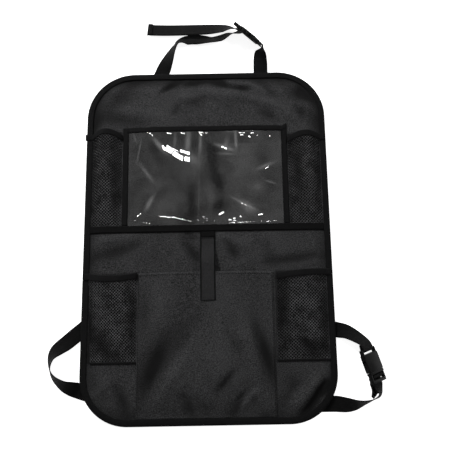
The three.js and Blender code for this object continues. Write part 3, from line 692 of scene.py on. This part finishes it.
def net_piece(name, place, columns, rows, folds, replaced):
    """A net of diamond cells over the unit square, each yarn a closed strand."""
    vertices, index, faces = [], {}, []

    def corner(i, j):
        if (i, j) not in index:
            index[i, j] = len(vertices)
            vertices.append(place(i / columns, j / rows))
        return index[i, j]

    for j in range(rows + 1):
        for i in range(columns + 1):
            if (i + j) % 2 == 0:
                continue
            around = [(i - 1, j), (i, j - 1), (i + 1, j), (i, j + 1)]
            kept = [(a, b) for a, b in around if 0 <= a <= columns and 0 <= b <= rows]
            if len(kept) >= 3:
                faces.append([corner(a, b) for a, b in kept])
    mesh = bpy.data.meshes.new(name)
    mesh.from_pydata(to_metres(vertices), [], faces)
    x, y = np.transpose(vertices)[:2]
    keep(mesh, "shadow", fold_shade_and_ridge_light(x, y, folds))
    piece = placed(name, mesh)
    strands = piece.modifiers.new("strands", "WIREFRAME")
    strands.thickness = NET_YARN * mm
    strands.use_even_offset = False
    return finish_piece(piece, net_yarn, [replaced])


net_yarn = net_finish()

# Each net: its mouth's height at the left, middle and right, how far it stands out, how far its left side
# leans in towards the foot, and how far the elastic reaches past it on the left and right
net_shapes = {
    "upper_left": {"mouth": (187, 194, 183), "bulge": 8, "taper": 0, "over": (12.5, 0)},
    "upper_right": {"mouth": (175, 185, 181), "bulge": 8, "taper": 0, "over": (0, 8)},
    "lower_left": {"mouth": (-57, -62, -56), "bulge": 10, "taper": 6, "over": (8, 0)},
    "lower_right": {"mouth": (-61, -57, -55), "bulge": 10, "taper": -3, "over": (0, 8)},
}
net_folds = {
    "upper_left": [
        ((-203, 190), (-196, 30), 6, -4.5), ((-181, 186), (-176, 60), 7, 3),
        ((-160, 180), (-154, 40), 6, -4), ((-166, 120), (-164, 20), 5, 2.4),
    ],
    "upper_right": [
        ((154, 176), (160, 30), 6, -3.4), ((178, 176), (170, 50), 7, 2), ((198, 170), (192, 60), 6, -3.6),
    ],
    "lower_left": [
        ((-203, -80), (-192, -190), 7, -5), ((-190, -70), (-140, -160), 11, 3),
        ((-186, -150), (-150, -200), 8, -4.2), ((-126, -70), (-122, -180), 5, -3.4),
        ((-150, -64), (-132, -120), 6, 2),
    ],
    "lower_right": [
        ((122, -66), (118, -190), 7, -4.4), ((146, -70), (172, -170), 9, 3),
        ((198, -76), (192, -190), 6, -4), ((140, -170), (190, -186), 7, -4),
    ],
}


def arch(share):
    """0 at both ends and 1 in the middle."""
    return 4 * share * (1 - share)


def net_pocket(place, shape, folds):
    """One net with its elastic and the elastic's seam, and a hem at the foot of each lower net."""
    low, high = cad_place(f"{place}_net")
    left_top = low.x + max(-shape["taper"], 0)
    left_foot = low.x + max(shape["taper"], 0)
    start, middle, end = shape["mouth"]

    def mouth(u):
        return start + (end - start) * u + (middle - (start + end) / 2) * arch(u)

    def height(x, y):
        v = np.clip((y - low.y) / (mouth(0.5) - low.y), 0, 1)
        left = left_foot + (left_top - left_foot) * v
        u = np.clip((x - left) / (high.x - left), 0, 1)
        rise = shape["bulge"] * arch(u) * smooth(0, 0.3, v) + MOUTH_LIFT * smooth(0.85, 0.95, v)
        for start_at, end_at, width, lift in folds:
            rise = rise + fold(x, y, start_at, end_at, width, lift) * arch(u)
        return SEWN + 0.5 + rumple(x, y) + np.maximum(rise, 0)

    def point(u, v):
        left = left_foot + (left_top - left_foot) * v
        x = left + (high.x - left) * u
        y = low.y + (mouth(u) - 1.5 - low.y) * v
        return np.array([x, y, height(x, y)])

    columns = 2 * round((high.x - low.x) / NET_CELL)
    rows = 2 * round((high.y - low.y) / NET_CELL)
    net = net_piece(f"{place}_pocket_net", point, columns, rows, folds, f"{place}_net")
    if place.startswith("lower"):
        hem_x, hem_y = np.meshgrid(np.linspace(left_foot, high.x, 40), low.y + np.linspace(0, NET_HEM, 4))
        hem = np.stack([hem_x, hem_y, height(hem_x, hem_y) + 0.8], 2)
        cloth_piece(f"{place}_net_hem", hem, HEM_THICK, edge_tape)
    x = np.linspace(left_top - shape["over"][0], high.x + shape["over"][1], 60)
    u = (x - left_top) / (high.x - left_top)
    mouth_y = mouth(np.clip(u, 0, 1))
    folded_mouth(f"{place}_mouth_elastic", x, mouth_y, height, ELASTIC_WIDTH, high.y + 9, f"{place}_elastic")


for place, shape in net_shapes.items():
    net_pocket(place, shape, net_folds[place])


# Large pocket: a second cut of the panel's cloth, folded under and sewn down both sides and caught in the
# edge binding along the foot. Its mouth has a narrow hem.
pocket_low, pocket_high = cad_place("large_pocket")
POCKET_BULGE = 7.0
POCKET_THICK = 1.2
POCKET_FOLDS = [
    ((-113, -262), (-60, -158), 14, -6.0), ((-86, -272), (-20, -170), 14, 3.6),
    ((-42, -252), (-23, -288), 6, -4.2), ((-2, -286), (-18, -230), 9, 2.6),
    ((-19, -255), (5, -290), 8, -3.6), ((33, -290), (60, -250), 6, -5.0),
    ((15, -251), (43, -217), 6.5, -4.0), ((49, -276), (82, -244), 7, 2.8),
    ((76, -140), (107, -240), 8, -6.4), ((60, -130), (84, -236), 10, 2.6),
    ((-60, -80), (-90, -160), 17, 1.6), ((20, -110), (30, -230), 15, 1.6),
    ((-20, -130), (-60, -220), 12, -1.8), ((30, -150), (60, -215), 9, -2.0),
    ((-104, -90), (-98, -170), 9, -2.0), ((77, -288), (105, -286), 5, -3.6),
    ((66, -258), (79, -276), 6, -1.8),
]


def pocket_height(x, y):
    """The pocket's upper face."""
    u, v = shares(x, y, pocket_low, pocket_high)
    rise = POCKET_BULGE * inside(u, 0.22) * smooth(0, 0.3, v)
    rise += sum(fold(x, y, *one) for one in POCKET_FOLDS)
    unsewn = inside(u, 0.05) * smooth(0, 0.04, v)
    return SEWN + POCKET_THICK + rumple(x, y) + np.maximum(rise, 0) * unsewn


pocket_x, pocket_y = np.meshgrid(
    np.linspace(pocket_low.x, pocket_high.x, 100), np.linspace(pocket_low.y, pocket_high.y, 106)
)
pocket = cloth_piece(
    "large_pocket_cloth",
    np.stack([pocket_x, pocket_y, pocket_height(pocket_x, pocket_y)], 2),
    POCKET_THICK,
    panel_cloth,
    ["large_pocket"],
    kept={"shadow": fold_shade_and_ridge_light(pocket_x, pocket_y, POCKET_FOLDS)},
)
pocket_size = pocket_high - pocket_low


def on_pocket(x, y):
    """Where the thread lies on the pocket."""
    return pocket_height(x, y) + 0.15


pocket_seams = [
    drawn(x, pocket_low.y + INSET, x, pocket_high.y - INSET, on_pocket, 120)
    for x in (pocket_low.x + INSET, pocket_high.x - INSET)
]
hem_y = pocket_high.y - 4
pocket_seams.append(drawn(pocket_low.x + 3, hem_y, pocket_high.x - 3, hem_y, on_pocket, 120))
stitches("large_pocket_stitches", pocket_seams, width=0.9)


# Closing tab: a length of webbing sewn down below the band. It reaches over the large pocket's mouth, and
# hook and loop tape under its end holds it there.
def webbing_finish(name, dark, light):
    """Polypropylene webbing: ribs along its length, crossed by slanting picks, with painted shade darkening
    it along both edges.
    """
    finish = Finish(name, {"Roughness": 0.75, "Specular IOR Level": 0.08})
    along, across, _ = finish.axes("UV")
    painted_edge_shade = finish.math("LESS_THAN", finish.math("MINIMUM", across, WEB_WIDTH * mm - across), 0.0022)
    slant = finish.math("PINGPONG", across, 0.0016)
    picks = finish.sine((along + slant) * 900)
    ribs = finish.sine(across * 625)
    speckle = finish.noise(900, 2)
    share = (picks * 0.2 + ribs * ribs * 0.3 + speckle * 0.9 - 0.2) * (1 - painted_edge_shade * 0.8)
    finish.shade(share, dark, light)
    finish.emboss(picks * 0.4 + ribs * ribs, 0.0003)
    return finish.material


WEB_WIDTH = 25
webbing = webbing_finish("webbing", 0.001, 0.006)
tab_weave = webbing_finish("tab_weave", 0.003, 0.05)
WEB_THICK = 1.4
TAB_BAND = 10
TAB_HEM = 9
TAB_SEAM_IN = 1.2
tab_low, tab_high = cad_place("closing_tab")
tab_middle = (tab_low.x + tab_high.x) / 2


def tab_height(x, y):
    """The tab's upper face: on the panel under the band, then up and over the pocket."""
    up = smooth(0, 1, (-8 - y) / 36)
    return (SEWN + 0.2 + WEB_THICK + rumple(tab_middle, y)) * (1 - up) + tab_high.z * up


web_across = (np.linspace(0, 1, 11) - 0.5) * WEB_WIDTH
thinner_edge = 0.35 * np.abs(2 * web_across / WEB_WIDTH) ** 6
tab_line = np.linspace(tab_high.y, tab_low.y, 90)
tab_x, tab_y = np.meshgrid(tab_middle + web_across, tab_line)
tab_points = np.stack([tab_x, tab_y, tab_height(tab_x, tab_y) - thinner_edge], 2)[:, ::-1]
cloth_piece("tab_webbing", tab_points, WEB_THICK, tab_weave, ["closing_tab"])
cloth_piece("tab_hem", tab_points[-9:] + [0, 0, 0.75], HEM_THICK, tab_weave)
sewn_end = tab_points[tab_line > tab_high.y - TAB_BAND] + [0, 0, 0.7]
cloth_piece("tab_sewn_end", sewn_end, HEM_THICK, webbing)


def on_tab(x, y):
    """Where the thread lies on the tab."""
    return tab_height(x, y) + 0.15


left, right = tab_low.x + TAB_SEAM_IN, tab_high.x - TAB_SEAM_IN
foot, head = tab_low.y + TAB_SEAM_IN, tab_high.y - TAB_BAND - 1
corners = [(left, foot), (right, foot), (right, head), (left, head), (left, foot)]
tab_seams = [drawn(*a, *b, on_tab, 12) for a, b in zip(corners, corners[1:])]
hem_y = tab_low.y + TAB_HEM
tab_seams.append(drawn(tab_low.x + INSET, hem_y, tab_high.x - INSET, hem_y, on_tab, 12))
stitches("tab_stitches", tab_seams, width=1.6)


# Hook and loop: the loop tape is sewn to the pocket and the hook tape to the tab's underside. Both are shown
# as their solids.
def fuzz_finish():
    """Matt black tufts."""
    finish = Finish("hook_and_loop", {"Roughness": 0.95, "Specular IOR Level": 0.1})
    tufts = finish.noise(1400, 3)
    finish.shade(tufts, 0.004, 0.02)
    finish.emboss(tufts, 0.0005)
    return finish.material


fuzz = fuzz_finish()
for node in ("hook_patch", "loop_patch"):
    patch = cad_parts[node]
    patch.data.materials.clear()
    patch.data.materials.append(fuzz)


# Straps: 25 mm polypropylene webbing, sewn behind the panel. The long end of each wraps the ladder of its
# buckle, and the short end is sewn round the eye of the socket.
def curve_through(places, steps):
    """A smooth line through points, with the given number of steps from each to the next."""
    points = np.array(places, float)
    points = np.vstack([2 * points[0] - points[1], points, 2 * points[-1] - points[-2]])
    painted_highlights = np.concatenate([[0], np.cumsum(np.linalg.norm(np.diff(points, axis=0), axis=1) ** 0.5 + 1e-6)])
    line = []
    for k in range(1, len(points) - 2):
        t0, t1, t2, t3 = painted_highlights[k - 1 : k + 3]
        for t in np.linspace(t1, t2, steps, endpoint=False):
            a = []
            for j in range(k - 1, k + 2):
                share = (t - painted_highlights[j]) / (painted_highlights[j + 1] - painted_highlights[j])
                a.append(points[j] + (points[j + 1] - points[j]) * share)
            b0 = a[0] + (a[1] - a[0]) * (t - t0) / (t2 - t0)
            b1 = a[1] + (a[2] - a[1]) * (t - t1) / (t3 - t1)
            line.append(b0 + (b1 - b0) * (t - t1) / (t2 - t1))
    return np.array(line + [points[-2]])


def lies(x, y, heading, lean=0, lift=0):
    """A station of webbing on the table, with its heading and how far it leans over one edge, in degrees."""
    h, r = math.radians(heading), math.radians(lean)
    height = WEB_WIDTH / 2 * abs(math.sin(r)) + WEB_THICK / 2 * abs(math.cos(r))
    across = (-math.sin(h) * math.cos(r), math.cos(h) * math.cos(r), math.sin(r))
    return (x, y, TABLE_Z + height + lift), across


def past_head(x, y, *rest):
    """The same, placed from the panel's top edge."""
    return lies(x, HALF_HEIGHT + y, *rest)


def past_left(x, y, *rest):
    """The same, placed from the panel's left edge and its foot."""
    return lies(-HALF_WIDTH - x, y - HALF_HEIGHT, *rest)


def past_right(x, y, *rest):
    """The same, placed from the panel's right edge and its foot."""
    return lies(HALF_WIDTH + x, y - HALF_HEIGHT, *rest)


BAR_RADIUS = 1.6
SLACK = 0.35
WRAP = BAR_RADIUS + WEB_THICK / 2 + SLACK
BUCKLE_HALF_LENGTH = 27.5
BUCKLE_HALF_WIDTH = 16.5
BUCKLE_HALF_DEPTH = 4.7
PRONGS_FOOT = -13.1
LADDER_END = -BUCKLE_HALF_LENGTH
EYE_BAR = BUCKLE_HALF_LENGTH - BAR_RADIUS
MID_BAR = PRONGS_FOOT - SLACK - WEB_THICK / 2 - WRAP


class Buckle:
    """Where a buckle lies: along from its ladder to its eye, across the webbing, and out of its face."""

    def __init__(self, x, y, heading, lean, lift=0):
        h, r = math.radians(heading), math.radians(lean)
        self.along = np.array([math.cos(h), math.sin(h), 0])
        self.across = np.array(lies(x, y, heading, lean)[1])
        self.out = np.cross(self.along, self.across)
        height = BUCKLE_HALF_WIDTH * abs(math.sin(r)) + BUCKLE_HALF_DEPTH * abs(math.cos(r))
        self.at = np.array([x, y, TABLE_Z + height + lift])

    def station(self, along, out, aside=0):
        """A station of webbing in the buckle."""
        return tuple(self.at + self.along * along + self.out * out + self.across * aside), tuple(self.across)

    def wrap(self, bar, start, end):
        """Half a turn round a bar."""
        turns = np.radians(np.linspace(start, end, 5))
        return [self.station(bar + WRAP * math.cos(t), WRAP * math.sin(t)) for t in turns]


HEM_WIDER = 1.07


def strap(name, stations, replaced, hemmed=0):
    """A length of webbing through its stations. Where it is hemmed, its last rows are folded back over it."""
    places = [np.array(place, float) for place, _ in stations]
    sides = [np.array(side, float) for _, side in stations]
    for i in range(1, len(sides)):
        if sides[i] @ sides[i - 1] < 0:
            sides[i] = -sides[i]
    steps = 8
    line = curve_through(places, steps)
    marks = np.arange(len(line)) / steps
    side = np.stack([np.interp(marks, np.arange(len(sides)), [s[k] for s in sides]) for k in range(3)], 1)
    for _ in range(3):
        side[1:-1] = (side[:-2] + 2 * side[1:-1] + side[2:]) / 4
    tangent = np.gradient(line, axis=0)
    tangent /= np.linalg.norm(tangent, axis=1, keepdims=True)
    side -= tangent * np.sum(side * tangent, 1, keepdims=True)
    side /= np.linalg.norm(side, axis=1, keepdims=True)
    up = np.cross(tangent, side)
    lowest = TABLE_Z + WEB_WIDTH / 2 * np.abs(side[:, 2]) + WEB_THICK / 2 * np.abs(up[:, 2])
    line[:, 2] = np.maximum(line[:, 2], lowest)
    out_to_edge = side[:, None] * web_across[None, :, None]
    if hemmed:
        hem = line[-hemmed:, None] + out_to_edge[-hemmed:] * HEM_WIDER
        hem += up[-hemmed:, None] * math.copysign(WEB_THICK, up[-1, 2])
        cloth_piece(name + "_hem", hem, WEB_THICK, webbing, offset=0)
    cloth_piece(name, line[:, None] + out_to_edge, WEB_THICK, webbing, [replaced], offset=0)


top = Buckle(77, HALF_HEIGHT + 69, -43, 113)
side = Buckle(HALF_WIDTH + 55, 88.5 - HALF_HEIGHT, 107.5, 38, 1.5)
strap(
    "top_webbing_long",
    [
        past_head(-90, -26, 67), past_head(-80, -1, 67), past_head(-75, 11, 66),
        past_head(-68, 25, 65, -26), past_head(-60, 42, 60, -50), past_head(-51, 56, 42, -62),
        past_head(-34, 65, 10, -24), past_head(-12, 66.5, 2, -22), past_head(10, 64, 4, -42),
        past_head(27, 67, 24, -38), past_head(44, 72.5, 34, -52, 2), top.station(MID_BAR + WRAP - 0.6, 5),
        *top.wrap(MID_BAR, 0, -180), top.station(MID_BAR - WRAP - 0.3, 4), past_head(47, 83, 168, 52, 4),
        past_head(34, 84.5, 170, 32, 4), past_head(8, 85.3, 178, 20, 2.5),
        past_head(-30, 85.5, 180, 17, 1.5), past_head(-70, 86.5, 178, 15, 0.3),
        past_head(-104, 88, 177, 15),
    ],
    "top_strap_long",
    hemmed=3,
)
strap(
    "top_webbing_short",
    [
        past_head(98, -26, 90), past_head(98.5, 2, 90), past_head(98.5, 16, 90, -10),
        past_head(98.3, 28, 92, -30), past_head(99.5, 38, 104, -58, 3), top.station(EYE_BAR + 6, -2),
        top.station(EYE_BAR + 2, 0.1 - WRAP), *top.wrap(EYE_BAR, 270, 90),
        top.station(EYE_BAR + 2.5, WRAP - 0.1), top.station(EYE_BAR + 5, 2.2),
    ],
    "top_strap_short",
)
strap(
    "side_webbing_long",
    [
        past_left(-21.5, 169, 220), past_left(0.5, 151, 220), past_left(10.5, 143, 220),
        past_left(23.5, 132, 219, 8), past_left(38.5, 120, 224, 30), past_left(46, 107, 246, 56),
        past_left(46.5, 90, 270, 73), past_left(40, 77, 306, 64), past_left(25.5, 65, 333, 46),
        past_left(15, 60.5, 337, 28), past_left(4, 57, 340, 8), past_left(-11.5, 52, 342),
        past_left(-57.5, 41, 350), lies(0, 31 - HALF_HEIGHT, 357), past_right(-57.5, 29, 0),
        past_right(-4.5, 29, 0), past_right(13.5, 27.5, 0, 26), past_right(30.5, 28.5, 2, 58),
        past_right(43.5, 31.5, 14, 74), past_right(55.5, 36, 30, 82), past_right(64.5, 43.5, 64, 66),
        side.station(LADDER_END - 4, -4.8), side.station(LADDER_END + 4, -4.7),
        side.station(MID_BAR - WRAP - 1, -3.2), *side.wrap(MID_BAR, 180, 0),
        side.station(MID_BAR + WRAP - 0.5, -3.4), side.station(MID_BAR - 1, -6.3),
        side.station(LADDER_END + 3, -7.1), side.station(LADDER_END - 4, -8.1, 2.5),
        past_right(56, 47, 262, -56, 1.5), past_right(52, 38, 262, -68, 1),
    ],
    "side_strap_long",
)
strap(
    "side_webbing_short",
    [
        past_right(-23.5, 151, 350), past_right(4.5, 145.5, 348), past_right(17.5, 142, 338, -24, 0.5),
        past_right(31.5, 134, 322, -36, 3), side.station(EYE_BAR + 11, 0.6),
        side.station(EYE_BAR + 4, WRAP - 0.2), *side.wrap(EYE_BAR, 90, 270),
        side.station(EYE_BAR + 4, 0.4 - WRAP), side.station(EYE_BAR + 10, -1.4),
    ],
    "side_strap_short",
)


# Buckles: side release buckles moulded in black acetal, each a socket and its prongs. They are the solids
# with softly rounded edges.
def plastic_finish():
    """Black acetal with the fine grain of its mould."""
    finish = Finish("buckle_plastic", {"Roughness": 0.42, "Specular IOR Level": 0.08})
    finish.shade(finish.noise(120, 2), 0.002, 0.005)
    finish.emboss(finish.noise(1800, 2), 0.00003)
    return finish.material


def moulded(node):
    """The solid of a moulded piece, with its edges rounded."""
    solid = bmesh.new()
    solid.from_mesh(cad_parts[node].data)
    bmesh.ops.remove_doubles(solid, verts=solid.verts, dist=1e-6)
    bmesh.ops.dissolve_limit(solid, angle_limit=math.radians(2), verts=solid.verts, edges=solid.edges)
    mesh = bpy.data.meshes.new(node + "_moulding")
    solid.to_mesh(mesh)
    solid.free()
    piece = placed(node + "_moulding", mesh)
    rounding = piece.modifiers.new("rounding", "BEVEL")
    rounding.width = 0.35 * mm
    rounding.segments = 2
    rounding.limit_method = "ANGLE"
    rounding.angle_limit = math.radians(35)
    mesh.shade_smooth()
    finish_piece(piece, plastic, [node])


plastic = plastic_finish()
for place in ("top", "side"):
    moulded(f"{place}_buckle_socket")
    moulded(f"{place}_buckle_prongs")


# Table and light: a white table that keeps a faint shadow, a large soft lamp behind the head on the left, a
# fill on the right, a small lamp behind the head for the film's glints, and a pale surround.
def table_finish():
    """Matt white, which a camera sees nearly white all over."""
    finish = Finish("white_table", {"Base Color": (0.8, 0.8, 0.8, 1), "Roughness": 0.9})
    camera_ray, glossy, through = (
        finish.node("LightPath", out=f"Is {kind} Ray") for kind in ("Camera", "Glossy", "Transmission")
    )
    seen = finish.math("MINIMUM", camera_ray + glossy + through, 1)
    finish.shader.inputs["Emission Color"].default_value = (1, 1, 1, 1)
    finish.feed(finish.shader.inputs["Emission Strength"], seen * 0.88)
    return finish.material


table_gap = 0.05
bpy.ops.mesh.primitive_plane_add(size=60, location=(0, 0, (TABLE_Z + PANEL_PLACE.z - table_gap) * mm))
table = bpy.context.object
table.name = "table"
table.data.materials.append(table_finish())


def soft_lamp(name, place, size, power):
    """A square lamp that points at the organizer."""
    lamp = placed(name, bpy.data.lights.new(name, "AREA"))
    lamp.data.size = size
    lamp.data.energy = power
    lamp.location = place
    lamp.rotation_euler = (-Vector(place)).to_track_quat("-Z", "Y").to_euler()


soft_lamp("key", (-1.1, 1.6, 1.2), 0.5, 66)
soft_lamp("fill", (1.3, 0.3, 1.2), 0.5, 9)
soft_lamp("head_lamp", HEAD_LAMP, 0.3, 3)

# The camera sees the surround white, but it lights the organizer faintly
PALE = 0.2
surround = bpy.data.worlds.new("surround")
bpy.context.scene.world = surround
surround.use_nodes = True
tree = surround.node_tree
background = tree.nodes["Background"].inputs
background["Color"].default_value = (1, 1, 1, 1)
path = tree.nodes.new("ShaderNodeLightPath")
strength = tree.nodes.new("ShaderNodeMath")
strength.operation = "MULTIPLY_ADD"
strength.inputs[1].default_value, strength.inputs[2].default_value = 1 - PALE, PALE
tree.links.new(path.outputs["Is Camera Ray"], strength.inputs[0])
tree.links.new(strength.outputs[0], background["Strength"])
bpy.context.scene.view_settings.view_transform = "Standard"
